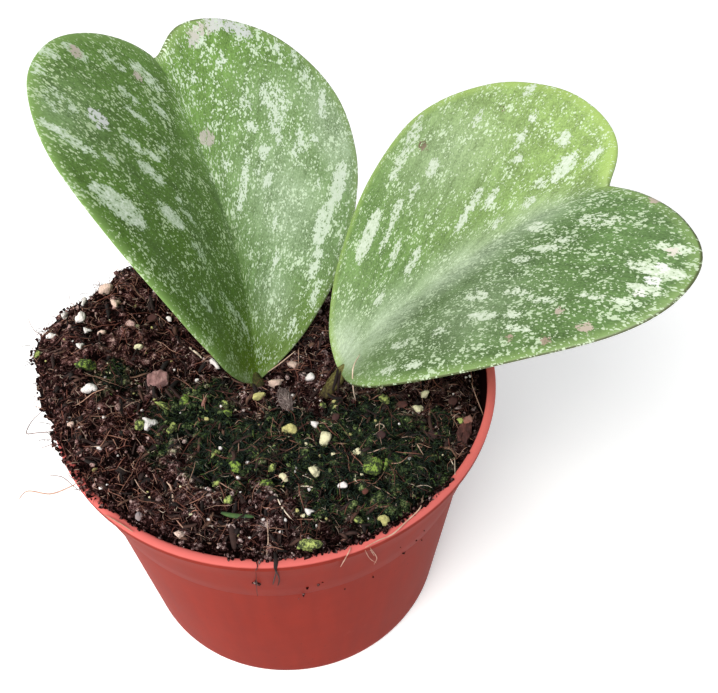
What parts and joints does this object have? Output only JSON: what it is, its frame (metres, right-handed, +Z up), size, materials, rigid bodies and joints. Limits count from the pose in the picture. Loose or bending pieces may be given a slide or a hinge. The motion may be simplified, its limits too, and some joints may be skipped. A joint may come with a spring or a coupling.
{
  "type": "potted hoya plant",
  "caption": "Two thick heart-shaped hoya leaves, flecked with silver, rooted in heaped soil in a small terracotta-coloured plastic pot.",
  "frame": {"origin": "on the pot's axis, in the flat face of its base disc that it stands on", "axes": "+Z up, -Y the side the plant is looked at from, +X to that viewer's right, where one leaf leans over the lip"},
  "size_m": [0.1368, 0.1092, 0.1469],
  "materials": {
    "pot_plastic": "matte moulded polypropylene, terracotta coloured",
    "potting_soil": "damp peat and coir with perlite, rough",
    "hoya_leaf": "waxy succulent leaf, satin, flecked with silver",
    "bark": "broken conifer bark, rough",
    "husk": "dry papery husk"
  },
  "bodies": {
    "root": {"pot": "pot_plastic", "soil": "potting_soil", "leaf_left": "hoya_leaf", "leaf_right": "hoya_leaf", "bark_chip_left": "bark", "bark_chip_right": "bark", "dry_husk": "husk"}
  },
  "joints": []
}
